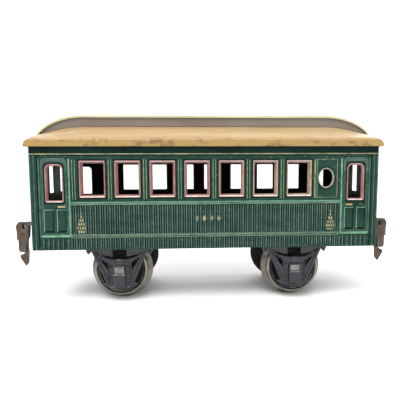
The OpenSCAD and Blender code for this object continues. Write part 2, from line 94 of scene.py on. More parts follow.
# ---- materials ----
class Nodes:
    """Small helper that wires shader nodes of one material."""

    def __init__(self, name):
        self.mat = bpy.data.materials.new(name)
        self.mat.use_nodes = True
        self.tree = self.mat.node_tree
        self.bsdf = self.tree.nodes["Principled BSDF"]
        self.coord = self.tree.nodes.new("ShaderNodeTexCoord").outputs["Object"]

    def new(self, kind, **values):
        node = self.tree.nodes.new(kind)
        for key, value in values.items():
            setattr(node, key, value)
        return node

    def link(self, a, b):
        self.tree.links.new(a, b)

    def stretched(self, scale):
        mapping = self.new("ShaderNodeMapping")
        mapping.inputs["Scale"].default_value = scale
        self.link(self.coord, mapping.inputs["Vector"])
        return mapping.outputs["Vector"]

    def noise(self, scale, detail=4.0, rough=0.55, stretch=(1, 1, 1), distortion=0.0):
        """Noise; scale is in features per metre."""
        node = self.new("ShaderNodeTexNoise")
        node.inputs["Scale"].default_value = scale
        node.inputs["Detail"].default_value = detail
        node.inputs["Roughness"].default_value = rough
        node.inputs["Distortion"].default_value = distortion
        self.link(self.stretched(stretch), node.inputs["Vector"])
        return node.outputs["Fac"]

    def ramp(self, fac, stops):
        """Colour ramp; stops are (place, colour or grey)."""
        node = self.new("ShaderNodeValToRGB")
        elements = node.color_ramp.elements
        while len(elements) < len(stops):
            elements.new(0.5)
        for element, (place, colour) in zip(elements, stops):
            element.position = place
            grey = isinstance(colour, (int, float))
            element.color = (colour, colour, colour, 1) if grey else (*colour, 1)
        self.link(fac, node.inputs["Fac"])
        return node.outputs["Color"]

    def mix(self, fac, a, b):
        node = self.new("ShaderNodeMix", data_type="RGBA")
        for value, socket in ((fac, node.inputs[0]), (a, node.inputs[6]), (b, node.inputs[7])):
            self.feed(value, socket)
        return node.outputs[2]

    def math(self, operation, a, b=0.0):
        node = self.new("ShaderNodeMath", operation=operation)
        self.feed(a, node.inputs[0])
        self.feed(b, node.inputs[1])
        return node.outputs[0]

    def feed(self, value, socket):
        if hasattr(value, "is_output"):
            self.link(value, socket)
        elif isinstance(value, (int, float)):
            socket.default_value = value
        else:
            socket.default_value = (*value, 1)

    def position(self):
        split = self.new("ShaderNodeSeparateXYZ")
        self.link(self.coord, split.inputs[0])
        return split.outputs

    def finish(self, colour, roughness, height=None, strength=0.2, distance=0.0002, metallic=0.0,
               shine=0.3):
        self.feed(colour, self.bsdf.inputs["Base Color"])
        self.feed(roughness, self.bsdf.inputs["Roughness"])
        self.feed(metallic, self.bsdf.inputs["Metallic"])
        self.bsdf.inputs["Specular IOR Level"].default_value = shine
        if height is not None:
            bump = self.new("ShaderNodeBump")
            bump.inputs["Strength"].default_value = strength
            bump.inputs["Distance"].default_value = distance
            self.link(height, bump.inputs["Height"])
            self.link(bump.outputs["Normal"], self.bsdf.inputs["Normal"])
        return self.mat


def green_enamel():
    """Old green stove enamel: paler and greyer where it stands proud, chipped to tin in dots."""
    n = Nodes("green_enamel")
    blotches = n.ramp(n.noise(45, 5), [(0.35, 0.0), (0.7, 1.0)])
    base = n.mix(blotches, (0.004, 0.026, 0.017), (0.012, 0.044, 0.032))
    haze = n.ramp(n.noise(130, 6, 0.7, (1, 1, 0.35)), [(0.45, 0.0), (0.8, 0.65)])
    base = n.mix(haze, base, (0.026, 0.060, 0.048))
    y = n.math("ABSOLUTE", n.position()[1])
    face_y, step = (HALF_W + 0.12) * MM, 0.0004
    proud = n.math("SUBTRACT", n.math("MULTIPLY", y, 1 / step), face_y / step)
    proud = n.ramp(proud, [(0.0, 0.0), (0.75, 1.0)])
    broken = n.ramp(n.noise(260, 5, 0.7, (1, 1, 0.3)), [(0.38, 0.15), (0.62, 0.85)])
    base = n.mix(n.math("MULTIPLY", proud, broken), base, (0.105, 0.20, 0.145))
    chips = n.ramp(n.noise(900, 2, 0.5), [(0.735, 0.0), (0.755, 1.0)])
    base = n.mix(chips, base, (0.42, 0.48, 0.42))
    rough = n.ramp(n.noise(160, 4), [(0.3, 0.34), (0.7, 0.52)])
    return n.finish(base, rough, n.noise(420, 5), 0.25, 0.0001, shine=0.12)


def plain_enamel(name, dark, light, worn, scale=140, chip=0.74, rough=(0.35, 0.55), stretch=(1, 1, 1),
                 shine=0.3):
    """Enamel of two close shades with chips of a third colour."""
    n = Nodes(name)
    base = n.mix(n.ramp(n.noise(scale, 5, 0.6, stretch), [(0.35, 0.0), (0.68, 1.0)]), dark, light)
    chips = n.ramp(n.noise(scale * 5, 3, 0.6), [(chip, 0.0), (chip + 0.03, 1.0)])
    base = n.mix(chips, base, worn)
    return n.finish(base, n.ramp(n.noise(scale * 2, 4), [(0.3, rough[0]), (0.7, rough[1])]),
                    n.noise(scale * 3, 5), 0.25, 0.0001, shine=shine)


def roof_enamel():
    """Tan roof paint: long pale streaks, and brown chips along the eaves."""
    n = Nodes("tan_enamel")
    streaks = n.ramp(n.noise(55, 5, 0.6, (0.12, 1.3, 1.3)), [(0.35, 0.0), (0.68, 1.0)])
    base = n.mix(streaks, (0.35, 0.225, 0.10), (0.46, 0.325, 0.17))
    pale = n.ramp(n.noise(90, 6, 0.65, (0.25, 1, 1)), [(0.52, 0.0), (0.75, 0.7)])
    base = n.mix(pale, base, (0.53, 0.38, 0.25))
    # Painted shade: the tan turns darker over the lowest 3 mm of the roof, on the turned-down eave. The
    # brown chips and pale scrapes below are wear along the eaves.
    eave_top, eave_depth = 0.1062, 0.003
    below = n.math("SUBTRACT", eave_top, n.position()[2])
    eave = n.ramp(n.math("MULTIPLY", below, 1 / eave_depth), [(0.0, 0.0), (1.0, 1.0)])
    base = n.mix(eave, base, (0.31, 0.20, 0.07))
    worn = n.noise(170, 6, 0.7, (0.5, 1, 1))
    brown = n.ramp(worn, [(0.52, 0.0), (0.60, 1.0)])
    base = n.mix(n.math("MULTIPLY", brown, eave), base, (0.20, 0.115, 0.045))
    scraped = n.ramp(n.noise(420, 5, 0.7), [(0.63, 0.0), (0.67, 1.0)])
    scraped = n.math("MULTIPLY", scraped, n.ramp(eave, [(0.0, 0.25), (1.0, 1.0)]))
    base = n.mix(scraped, base, (0.60, 0.52, 0.42))
    specks = n.ramp(n.noise(700, 3, 0.5), [(0.70, 0.0), (0.73, 1.0)])
    base = n.mix(specks, base, (0.22, 0.14, 0.07))
    rough = n.ramp(n.noise(140, 4), [(0.3, 0.30), (0.7, 0.48)])
    return n.finish(base, rough, n.noise(260, 5), 0.3, 0.00015)


def frame_enamel():
    """Dull copper-pink frame paint, rubbed to bare buff metal towards one end of the row."""
    n = Nodes("copper_enamel")
    clouds = n.ramp(n.noise(150, 5, 0.6), [(0.35, 0.0), (0.68, 1.0)])
    base = n.mix(clouds, (0.24, 0.105, 0.095), (0.34, 0.185, 0.17))
    place = n.position()
    turned = n.math("MULTIPLY", place[0], n.math("SIGN", place[1]))
    along = n.ramp(n.math("ADD", n.math("MULTIPLY", turned, -6.0), 0.25),
                   [(0.2, 0.0), (0.6, 1.0), (0.74, 1.0), (0.77, 0.0)])
    patchy = n.ramp(n.noise(240, 5, 0.7), [(0.34, 0.0), (0.50, 1.0)])
    base = n.mix(n.math("MULTIPLY", along, patchy), base, (0.34, 0.285, 0.19))
    chips = n.ramp(n.noise(750, 3, 0.6), [(0.66, 0.0), (0.69, 1.0)])
    base = n.mix(chips, base, (0.50, 0.40, 0.36))
    pits = n.ramp(n.noise(500, 4, 0.6), [(0.67, 0.0), (0.70, 1.0)])
    base = n.mix(n.math("MULTIPLY", pits, along), base, (0.06, 0.04, 0.03))
    rough = n.ramp(n.noise(300, 4), [(0.3, 0.35), (0.7, 0.55)])
    return n.finish(base, rough, n.noise(450, 5), 0.25, 0.0001)


def worn_metal(name, dark, light, rust, scale=220, metallic=0.9, rough=(0.3, 0.5), rust_at=0.58):
    """Bare metal with tarnish and rust in patches."""
    n = Nodes(name)
    base = n.mix(n.ramp(n.noise(scale, 5, 0.6), [(0.35, 0.0), (0.65, 1.0)]), dark, light)
    patches = n.ramp(n.noise(scale * 0.8, 6, 0.7), [(rust_at, 0.0), (rust_at + 0.08, 1.0)])
    base = n.mix(patches, base, rust)
    metal = n.math("MULTIPLY", n.math("SUBTRACT", 1.0, n.math("MULTIPLY", patches, 0.8)), metallic)
    rough_map = n.ramp(n.noise(scale * 2, 5), [(0.3, rough[0]), (0.7, rough[1])])
    return n.finish(base, rough_map, n.noise(scale * 3, 6), 0.35, 0.00012, metallic=metal)


def gold_print(name):
    """Thin gold lining, rubbed through to the green in places."""
    n = Nodes(name)
    rubbed = n.ramp(n.noise(300, 5, 0.7, (0.4, 1, 1)), [(0.42, 0.0), (0.62, 1.0)])
    base = n.mix(rubbed, (0.33, 0.29, 0.15), (0.09, 0.13, 0.09))
    return n.finish(base, 0.5, n.noise(500, 4), 0.2, 0.0001)


GREEN = green_enamel()
HOOD = plain_enamel("hood_green", (0.035, 0.070, 0.062), (0.075, 0.125, 0.115), (0.20, 0.27, 0.24),
                    shine=0.15)
# Pale green: pale lines between the windows, and painted highlight on door stiles, door ledges, the belt
# rail's top and the lit sides of door panels.
LIGHT_LINE = plain_enamel("pale_green_line_and_highlight", (0.075, 0.19, 0.115), (0.16, 0.32, 0.22),
                          (0.03, 0.09, 0.06), 200, 0.66, shine=0.15)
# Near-black painted shadow: beside ribs, under rails, inside door stiles, on a corner-post bead, round
# window frames and on door panels' shaded sides.
SHADOW_LINE = plain_enamel("painted_shadow_line", (0.002, 0.008, 0.006), (0.005, 0.014, 0.011),
                           (0.03, 0.06, 0.05), 160, 0.78, shine=0.05)
LETTERBOARD = plain_enamel("letterboard", (0.001, 0.010, 0.008), (0.004, 0.020, 0.016),
                           (0.06, 0.10, 0.09), 120, 0.77, stretch=(0.4, 1, 1), shine=0.08)
COPPER = frame_enamel()
# Painted light on the window frames: a pale pink highlight along each sill, and a paler grey-pink band
# along each head.
SILL = plain_enamel("painted_sill_highlight", (0.50, 0.36, 0.34), (0.80, 0.66, 0.63), (0.34, 0.19, 0.17), 300, 0.68)
HEADER = plain_enamel("painted_header_light", (0.27, 0.185, 0.18), (0.38, 0.28, 0.27), (0.50, 0.42, 0.40), 260,
                      0.66)
# Grey-green: lining on the rails, and painted highlight on the beaded boards' ribs and the thin lines
# beside them.
RAIL = plain_enamel("grey_green_lining_and_highlight", (0.050, 0.098, 0.078), (0.115, 0.18, 0.15), (0.26, 0.30, 0.25),
                    240, 0.62, stretch=(0.3, 1, 1), shine=0.15)
BLACK = plain_enamel("black_enamel", (0.005, 0.006, 0.007), (0.013, 0.014, 0.016), (0.08, 0.08, 0.08),
                     120, 0.78, (0.4, 0.6), shine=0.25)
# Near-black painted shade for the coach's inside, seen through the windows.
INNER = plain_enamel("painted_interior_shade", (0.003, 0.003, 0.004), (0.007, 0.007, 0.008), (0.02, 0.02, 0.02),
                     90, 0.8, (0.6, 0.8), shine=0.1)
TRUCK = plain_enamel("grey_enamel", (0.007, 0.009, 0.012), (0.020, 0.023, 0.029), (0.16, 0.16, 0.17),
                     150, 0.70, (0.22, 0.38), shine=0.5)
# Lighter grey with chips: painted highlight on the axle boxes' lids and edge strips.
BOX_LID = plain_enamel("painted_lid_highlight", (0.09, 0.09, 0.09), (0.20, 0.20, 0.19), (0.42, 0.41, 0.38), 320,
                       0.62, (0.3, 0.5))
ROOF = roof_enamel()
WALL = plain_enamel("brown_enamel", (0.145, 0.115, 0.085), (0.20, 0.165, 0.145), (0.30, 0.26, 0.19),
                    60, 0.76, (0.32, 0.5), (0.25, 1, 1))
CREAM = plain_enamel("cream_enamel", (0.40, 0.36, 0.20), (0.52, 0.48, 0.31), (0.24, 0.20, 0.11), 80,
                     0.74, (0.3, 0.45), (0.3, 1, 1))
STEEL = worn_metal("bright_steel", (0.10, 0.09, 0.075), (0.24, 0.22, 0.19), (0.045, 0.034, 0.024), 120,
                   rust_at=0.56)
TIN = worn_metal("tinplate", (0.050, 0.040, 0.034), (0.125, 0.102, 0.090), (0.085, 0.046, 0.022), 260,
                 0.5, (0.42, 0.65), 0.52)
BRASS = worn_metal("brass_trim", (0.30, 0.235, 0.12), (0.46, 0.37, 0.21), (0.16, 0.14, 0.08), 300, 0.7)
GOLD = gold_print("gold_lines")
OVAL_RIM = plain_enamel("worn_oval_rim", (0.10, 0.11, 0.085), (0.34, 0.31, 0.25), (0.62, 0.58, 0.50),
                        420, 0.60)
TREAD = worn_metal("tread_steel", (0.20, 0.187, 0.16), (0.42, 0.40, 0.355), (0.06, 0.047, 0.035), 150,
                   rust_at=0.60)


# ---- mesh helpers ----
def piece(name, bm, materials, body, replaces=(), sharp=35, turn=False):
    """Makes an object of a bmesh drawn in millimetres; turn gives it half a turn about Z."""
    matrix = Matrix.Scale(MM, 4)
    if turn:
        matrix = Matrix.Rotation(math.pi, 4, "Z") @ matrix
    bmesh.ops.remove_doubles(bm, verts=bm.verts, dist=0.0005)
    bmesh.ops.recalc_face_normals(bm, faces=bm.faces)
    bm.transform(matrix)
    mesh = bpy.data.meshes.new(name)
    bm.to_mesh(mesh)
    bm.free()
    for material in materials:
        mesh.materials.append(material)
    mesh.shade_smooth()
    mesh.set_sharp_from_angle(angle=math.radians(sharp))
    obj = bpy.data.objects.new(name, mesh)
    scene.collection.objects.link(obj)
    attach(obj, body)
    if replaces:
        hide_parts(*replaces)
    return obj


def face(bm, verts, material=0):
    made = bm.faces.new(verts)
    made.material_index = material
    return made


def loft(bm, rings, closed=False, caps=False, material=0):
    """Joins rings of points into a skin; closed joins the last ring to the first."""
    loops = [[bm.verts.new(p) for p in ring] for ring in rings]
    pairs = list(zip(loops, loops[1:]))
    if closed:
        pairs.append((loops[-1], loops[0]))
    for low, high in pairs:
        count = len(low)
        for i in range(count):
            k = (i + 1) % count
            face(bm, (low[i], low[k], high[k], high[i]), material)
    if caps:
        face(bm, loops[0][::-1], material)
        face(bm, loops[-1], material)


def bar(bm, x0, x1, z0, z1, y, proud, bevel=0.2, material=0):
    """A raised strip on the front wall: a flat face with bevelled edges."""
    def ring(inset, at):
        return [(x0 + inset, at, z0 + inset), (x1 - inset, at, z0 + inset),
                (x1 - inset, at, z1 - inset), (x0 + inset, at, z1 - inset)]
    loft(bm, [ring(0, -y + 0.05), ring(0, -y - proud + bevel), ring(bevel, -y - proud)], caps=True,
         material=material)


def bead(bm, x, z0, z1, y, width, proud, material=0):
    """A half-round vertical rib with tapering ends."""
    def ring(z, k):
        return [(x + width / 2 * math.cos(a) * k, -y + 0.05 - (proud + 0.05) * math.sin(a) * k, z)
                for a in [math.pi * i / 6 for i in range(7)]]
    loft(bm, [ring(z0, 0.3), ring(z0 + 0.4, 1), ring(z1 - 0.4, 1), ring(z1, 0.3)], caps=True,
         material=material)


def rounded_rect(x0, x1, z0, z1, low, high, steps=5):
    """Outline with corners of radius low at the bottom and high at the top, as (x, z) points."""
    points = []
    for cx, cz, start, r in ((x1 - high, z1 - high, 0, high), (x0 + high, z1 - high, 90, high),
                             (x0 + low, z0 + low, 180, low), (x1 - low, z0 + low, 270, low)):
        for i in range(steps + 1):
            a = math.radians(start + 90 * i / steps)
            points.append((cx + r * math.cos(a), cz + r * math.sin(a)))
    return points


def oval_outline(inset, steps=48):
    turns = [2 * math.pi * i / steps for i in range(steps)]
    return [(OVAL_X + (OVAL_R[0] - inset) * math.cos(t), OVAL_Z + (OVAL_R[1] - inset) * math.sin(t))
            for t in turns]


def plate(bm, outlines, y_out, thick, material=0, roll=0.0):
    """A flat sheet in the front wall's plane; outlines are the edge and then its holes."""
    curve = bpy.data.curves.new("outline", "CURVE")
    curve.dimensions = "2D"
    curve.fill_mode = "BOTH"
    curve.extrude = thick / 2 - roll
    curve.bevel_depth = roll
    curve.bevel_resolution = 2
    curve.offset = -roll
    for outline in outlines:
        spline = curve.splines.new("POLY")
        spline.points.add(len(outline) - 1)
        for point, (x, z) in zip(spline.points, outline):
            point.co = (x, z, 0, 1)
        spline.use_cyclic_u = True
    holder = bpy.data.objects.new("outline", curve)
    mesh = bpy.data.meshes.new_from_object(holder)
    mesh.transform(Matrix.Translation((0, -y_out + thick / 2, 0)) @ Matrix.Rotation(math.pi / 2, 4, "X"))
    first = len(bm.faces)
    bm.from_mesh(mesh)
    bm.faces.ensure_lookup_table()
    for f in bm.faces[first:]:
        f.material_index = material
    bpy.data.objects.remove(holder)
    bpy.data.curves.remove(curve)
    bpy.data.meshes.remove(mesh)


def band(bm, outer, inner, y, proud, material=0):
    """A flat raised band between two outlines of as many points."""
    def ring(points, at):
        return [(x, at, z) for x, z in points]
    loft(bm, [ring(outer, -y + 0.02), ring(outer, -y - proud), ring(inner, -y - proud),
              ring(inner, -y + 0.02)], closed=True, material=material)


# ---- side sheets ----
# Places in a side sheet's list of materials.
PLAIN, PALE, DARK, GILT, INSIDE, BOW, BOARD, GREY = range(8)


def window_x(i):
    return ROW_X + WINDOW_PITCH * (i - 3)


def window_outline(i, inset):
    x = window_x(i)
    return rounded_rect(x - WINDOW_W / 2 + inset, x + WINDOW_W / 2 - inset, WINDOW_Z[0] + inset,
                        WINDOW_Z[1] - inset, 0.5, 0.5, 3)


def door_outline(side, inset):
    x = side * DOOR_X
    return rounded_rect(x - DOOR_WINDOW_W / 2 + inset, x + DOOR_WINDOW_W / 2 - inset, DOOR_Z[0] + inset,
                        DOOR_Z[1] - inset, 0.7, max(3.4 - inset * 0.6, 1.0))


def opening_outlines(inset):
    rows = [window_outline(i, inset) for i in range(7)]
    doors = [door_outline(side, inset) for side in (-1, 1)]
    return rows + doors + [oval_outline(inset)]


def side_sheet(node, turn):
    """One stamped side: plate, corner posts, ribs, rails, mouldings, painted lines, and painted shade
    and highlights.
    """
    bm = bmesh.new()
    cut = SHEET_TOP - CORNER_CUT
    step = HALF_L - CORNER_RUN
    edge = [(-HALF_L, SKIRT_Z), (HALF_L, SKIRT_Z), (HALF_L, cut), (step, cut), (step, SHEET_TOP),
            (-step, SHEET_TOP), (-step, cut), (-HALF_L, cut)]
    plate(bm, [edge] + opening_outlines(0.5), HALF_W, SHEET_T)
    # A near-black coat inside the sheet is painted shade for the coach's dark inside.
    lining_half, lining_top, paint_t = HALF_L - 1, cut - 0.5, 0.04
    lining = [(-lining_half, SKIRT_Z + 0.5), (lining_half, SKIRT_Z + 0.5), (lining_half, lining_top),
              (-lining_half, lining_top)]
    plate(bm, [lining] + opening_outlines(0.6), HALF_W - SHEET_T, paint_t, INSIDE)
    for part in (posts, ribs, rails, pilasters, doors, outline_bands, ornaments):
        part(bm)
    piece("skin_" + node, bm, [GREEN, LIGHT_LINE, SHADOW_LINE, GOLD, INNER, HOOD, LETTERBOARD, RAIL],
          "coach_body", (node,), turn=turn)


def posts(bm):
    """Corner posts with three rounded edges, folded round the ends."""
    depth = 6.0
    half = SHEET_T / 2
    bead_top = SHEET_TOP - 8.6
    for s in (-1, 1):
        x = s * (HALF_L - half)
        ring = [(x - half, -HALF_W), (x + half, -HALF_W), (x + half, -HALF_W + depth),
                (x - half, -HALF_W + depth)]
        loft(bm, [[(px, py, z) for px, py in ring] for z in (SKIRT_Z, SHEET_TOP - CORNER_CUT)],
             caps=True)
        # Three beads down each post; the dark one is painted shadow at the step down to the door.
        for off, width, look in ((0.6, 0.9, PLAIN), (2.7, 0.4, GREY), (4.7, 0.9, DARK)):
            bead(bm, s * (HALF_L - off), SKIRT_Z + 0.2, bead_top, HALF_W, width, 0.3, look)


def rib(bm, x, low, high):
    # The bead's light grey-green is a painted highlight along its crest.
    bead(bm, x, low, high, HALF_W, 0.62, 0.36, GREY)


def painted_rib_shadow(bm, x0, x1, high):
    """Painted shadow: a dark line beside a rib, from the skirt up."""
    bar(bm, x0, x1, RIB_FOOT, high, HALF_W, 0.03, 0.01, DARK)


def ribs(bm):
    """Beaded boards of the wainscot, and the shorter ones under the doors."""
    span = DOOR_X - BAY_W / 2 - 0.6
    count = int(2 * span / RIB_PITCH)
    board_top = BELT_Z - 1.0
    for i in range(count + 1):
        x = (i - count / 2) * RIB_PITCH
        rib(bm, x, RIB_FOOT, RAIL_Z - 1.2)
        rib(bm, x, RAIL_Z + 1.0, BELT_Z - 1.2)
        painted_rib_shadow(bm, x + 0.3, x + 0.95, board_top)
        # A thin light grey-green line beside each dark one: painted highlight.
        bar(bm, x - 1.62, x - 1.34, RIB_FOOT, board_top, HALF_W, 0.12, 0.05, GREY)
        painted_rib_shadow(bm, x - 1.34, x - 0.85, board_top)
    board_top = RAIL_Z - 1.4
    for s in (-1, 1):
        for i in range(6):
            x = s * DOOR_X + (i - 2.5) * RIB_PITCH
            rib(bm, x, RIB_FOOT, board_top)
            painted_rib_shadow(bm, x + 0.3, x + 0.95, board_top)


def rails(bm):
    """Belt rail, lower rail with its double lining, and the gold line under the letterboard."""
    span = DOOR_X - BAY_W / 2 - 0.7
    whole = HALF_L - 0.2
    # The pale strip on the belt rail's top is a painted highlight; the dark strips under the belt rail,
    # the lower rail and the gold line are painted shadow.
    for half, low, high, proud, bevel, look in (
            (span, BELT_Z + 0.45, BELT_Z + 1.1, 0.36, 0.2, PALE),
            (span, BELT_Z - 1.1, BELT_Z + 0.4, 0.30, 0.2, GREY),
            (span, BELT_Z - 1.6, BELT_Z - 1.1, 0.12, 0.05, DARK),
            (span, RAIL_Z - 0.9, RAIL_Z + 0.7, 0.30, 0.15, PLAIN),
            (span, RAIL_Z + 0.6, RAIL_Z + 1.15, 0.36, 0.15, GREY),
            (span, RAIL_Z - 1.2, RAIL_Z - 0.55, 0.36, 0.15, GREY),
            (span, RAIL_Z + 0.2, RAIL_Z + 0.5, 0.34, 0.08, GILT),
            (span, RAIL_Z - 1.6, RAIL_Z - 1.2, 0.10, 0.05, DARK),
            (whole, GOLD_Z + 0.3, SHEET_TOP - 1.5, 0.25, 0.2, BOARD),
            (whole, GOLD_Z - 0.35, GOLD_Z + 0.35, 0.38, 0.15, GILT),
            (whole, GOLD_Z - 1.1, GOLD_Z - 0.35, 0.1, 0.05, DARK)):
        bar(bm, -half, half, low, high, HALF_W, proud, bevel, look)


def pilasters(bm):
    """Pairs of thin upright lines between the windows, and a gold panel line round the oval."""
    low, high = WINDOW_Z[0] - 1.2, WINDOW_Z[1] + 0.6
    first = window_x(0) - WINDOW_W / 2 - 3.4
    for x in [first] + [window_x(i - 0.5) for i in range(1, 8)]:
        for off, look in ((-0.8, GILT), (0.8, PALE)):
            bar(bm, x + off - 0.19, x + off + 0.19, low, high, HALF_W, 0.16, 0.08, look)
    low, high = WINDOW_Z[0] - 0.9, WINDOW_Z[1] + 0.5
    outer = rounded_rect(OVAL_X - 7.3, OVAL_X + 7.3, low, high, 0.4, 0.4, 2)
    inner = rounded_rect(OVAL_X - 7.0, OVAL_X + 7.0, low + 0.3, high - 0.3, 0.3, 0.3, 2)
    band(bm, outer, inner, HALF_W, 0.14, GILT)


def doors(bm):
    """Each door: arched hood, stiles, two lower panels, a ledge, and a row of dots over it."""
    half = BAY_W / 2
    for s in (-1, 1):
        x = s * DOOR_X
        for e in (-1, 1):
            stile, line = x + e * half, x + e * (half - 1.1)
            # The stile towards the coach's middle is pale green as a painted highlight, and the dark
            # line inside each stile is painted shadow.
            bar(bm, stile - 0.55, stile + 0.55, RAIL_Z - 0.6, DOOR_HEAD - 0.4, HALF_W, 0.35, 0.2,
                PLAIN if e == s else PALE)
            bar(bm, line - 0.3, line + 0.3, RAIL_Z, DOOR_HEAD - 0.8, HALF_W, 0.06, 0.03, DARK)
        outer = rounded_rect(x - half + 0.9, x + half - 0.9, RAIL_Z + 1.0, DOOR_HEAD, 0.4, 2.2)
        inner = rounded_rect(x - half + 2.6, x + half - 2.6, RAIL_Z + 2.2, DOOR_HEAD - 2.6, 0.4, 3.0)
        band(bm, outer, inner, HALF_W, 0.22)
        hood(bm, x, half)
        # The ledge is pale green as a painted highlight.
        bar(bm, x - half + 0.3, x + half - 0.3, RAIL_Z - 0.6, RAIL_Z + 0.9, HALF_W, 0.75, 0.5, PALE)
        for panel in (-1, 1):
            door_panel(bm, x + panel * 4.0)
        for i in range(7):
            dot = x + (i - 3) * 2.3
            bar(bm, dot - 0.5, dot + 0.5, DOOR_HEAD + 1.1, DOOR_HEAD + 1.6, HALF_W, 0.18, 0.12, BOW)


def door_panel(bm, x):
    """A sunk panel of a door: its border, lit on two sides and shaded on the others."""
    low, high = RAIL_Z + 3.0, RAIL_Z + 17.0
    wide, narrow = 3.0, 2.4
    outer = rounded_rect(x - wide, x + wide, low, high, 0.3, 0.3, 2)
    inner = rounded_rect(x - narrow, x + narrow, low + 0.6, high - 0.6, 0.3, 0.3, 2)
    band(bm, outer, inner, HALF_W, 0.12)
    bar(bm, x - wide, x - narrow - 0.05, low, high, HALF_W, 0.30, 0.1, PALE)
    bar(bm, x - wide, x + wide, high - 0.5, high, HALF_W, 0.26, 0.1, PALE)
    bar(bm, x + narrow, x + wide, low, high - 0.6, HALF_W, 0.22, 0.1, DARK)
    bar(bm, x - narrow, x + wide, low - 0.4, low + 0.7, HALF_W, 0.22, 0.1, DARK)


def hood(bm, x, half):
    """A broad pressed bow over the door's window, with legs down its sides."""
    def bow(inset, drop):
        """Outline of the arch: up the left leg, over, and down the right one."""
        w = half - 1.1 - inset
        r = max(2.6 - inset * 0.5, 0.6)
        centre_z = DOOR_HEAD + 0.1 - drop - r
        points = [(x - w, HOOD_FOOT)]
        for start, cx in ((180, x - w + r), (90, x + w - r)):
            turns = [math.radians(start - a) for a in range(0, 91, 15)]
            points += [(cx + r * math.cos(t), centre_z + r * math.sin(t)) for t in turns]
        return points + [(x + w, HOOD_FOOT)]
    loops = []
    for inset, drop, proud in ((0, 0, -0.05), (0.1, 0.1, 0.3), (0.5, 0.6, 0.5), (0.9, 1.7, 0.45),
                               (1.3, 2.5, 0.15), (1.35, 2.6, -0.05)):
        loops.append([bm.verts.new((px, -HALF_W - proud, pz)) for px, pz in bow(inset, drop)])
    for low, high in zip(loops, loops[1:] + loops[:1]):
        for i in range(len(low) - 1):
            face(bm, (low[i], low[i + 1], high[i + 1], high[i]), BOW)
    for end in (0, -1):
        face(bm, [loop[end] for loop in loops], BOW)


def outline_bands(bm):
    """Painted shadow: dark bands round every window frame, along the pressed frames' edges."""
    for outer, inner in zip(opening_outlines(-0.9), opening_outlines(0.1)):
        band(bm, outer, inner, HALF_W, 0.07, DARK)


def diamond(bm, x, z, w, h, proud=0.42):
    def ring(y):
        return [(x - w, y, z), (x, y, z - h), (x + w, y, z), (x, y, z + h)]
    loft(bm, [ring(-HALF_W + 0.05), ring(-HALF_W - proud)], caps=True, material=GILT)


def ornaments(bm):
    """Small stacks of gold lozenges near the doors, and a row of four in the middle."""
    for x in (-STACK_X, STACK_X):
        diamond(bm, x, 58.6, 0.5, 0.9, 0.38)
        for count, z in ((1, 56.4), (2, 54.0), (3, 51.6), (4, 49.2), (3, 46.9)):
            for i in range(count):
                diamond(bm, x + (i - (count - 1) / 2) * 1.5, z, 0.7, 1.15)
    for i in range(4):
        diamond(bm, (i - 1.5) * 4.6, 54.6, 1.3, 1.9)


# ---- window frames ----
# Places in a row of window frames' list of materials.
LIP, SILL_EDGE, HEAD_EDGE, OVAL_LIP = range(4)


def funnel(bm, outline_at, depth=FRAME_D, taper=TAPER, material=LIP):
    """A pressed frame: rounded lip on the face, then walls that narrow inwards."""
    def ring(inset, y):
        return [(x, -y, z) for x, z in outline_at(inset)]
    y = HALF_W
    deep = y - SHEET_T - depth + 0.1
    loft(bm, [ring(0.0, y), ring(0.0, y + 0.2), ring(0.25, y + 0.32), ring(0.55, y + 0.25),
              ring(0.8, y), ring(taper + 0.25, deep), ring(taper, deep), ring(0.55, y - 0.3)],
         closed=True, material=material)


def painted_light_edge(bm, x, half, low, high, look):
    """Painted light: a paler strip along the foot or head of a frame's lip."""
    bar(bm, x - half, x + half, low, high, HALF_W + 0.2, 0.18, 0.15, look)


def window_frames(node, turn):
    bm = bmesh.new()
    half = WINDOW_W / 2 - 0.5
    for i in range(7):
        funnel(bm, lambda inset, i=i: window_outline(i, inset))
        painted_light_edge(bm, window_x(i), half, WINDOW_Z[0] + 0.12, WINDOW_Z[0] + 0.95, SILL_EDGE)
        painted_light_edge(bm, window_x(i), half, WINDOW_Z[1] - 1.0, WINDOW_Z[1] - 0.12, HEAD_EDGE)
    half = DOOR_WINDOW_W / 2 - 0.9
    for side in (-1, 1):
        funnel(bm, lambda inset, side=side: door_outline(side, inset), DOOR_FRAME_D, 0.95)
        painted_light_edge(bm, side * DOOR_X, half, DOOR_Z[0] + 0.12, DOOR_Z[0] + 0.8, SILL_EDGE)
        painted_light_edge(bm, side * DOOR_X, 2.2, DOOR_Z[1] - 0.9, DOOR_Z[1] - 0.15, HEAD_EDGE)
    funnel(bm, oval_outline, OVAL_FRAME_D, 0.35, OVAL_LIP)
    piece("skin_" + node, bm, [COPPER, SILL, HEADER, OVAL_RIM], "coach_body", (node,),
          turn=turn)


# ---- roof ----
EAVE_Z = 104.6
DECK_R = 65.0
BOW_X = 80.0
HALF_ROOF = ROOF_HIGH[0]
HALF_EAVE = ROOF_HIGH[1]
EAVE_LOW = ROOF_LOW[2]
DECK_C = EAVE_Z - math.sqrt(DECK_R ** 2 - HALF_EAVE ** 2)
BOW_FALL = 0.66
ROUND_END = 4.4
ROUND_EAVE = 1.2


def arch_z(x, y):
    bow = 1 - BOW_FALL * (max(0.0, abs(x) - BOW_X) / (HALF_ROOF - BOW_X)) ** 1.8
    return EAVE_Z + (DECK_C + math.sqrt(DECK_R ** 2 - y * y) - EAVE_Z) * bow


def round_drop(r, d):
    return 0.0 if d >= r else r - math.sqrt(max(0.0, r * r - (r - d) ** 2))


def deck_z(x, y):
    return arch_z(x, y) - max(round_drop(ROUND_END, HALF_ROOF - abs(x)),
                              round_drop(ROUND_EAVE, HALF_EAVE - abs(y)))


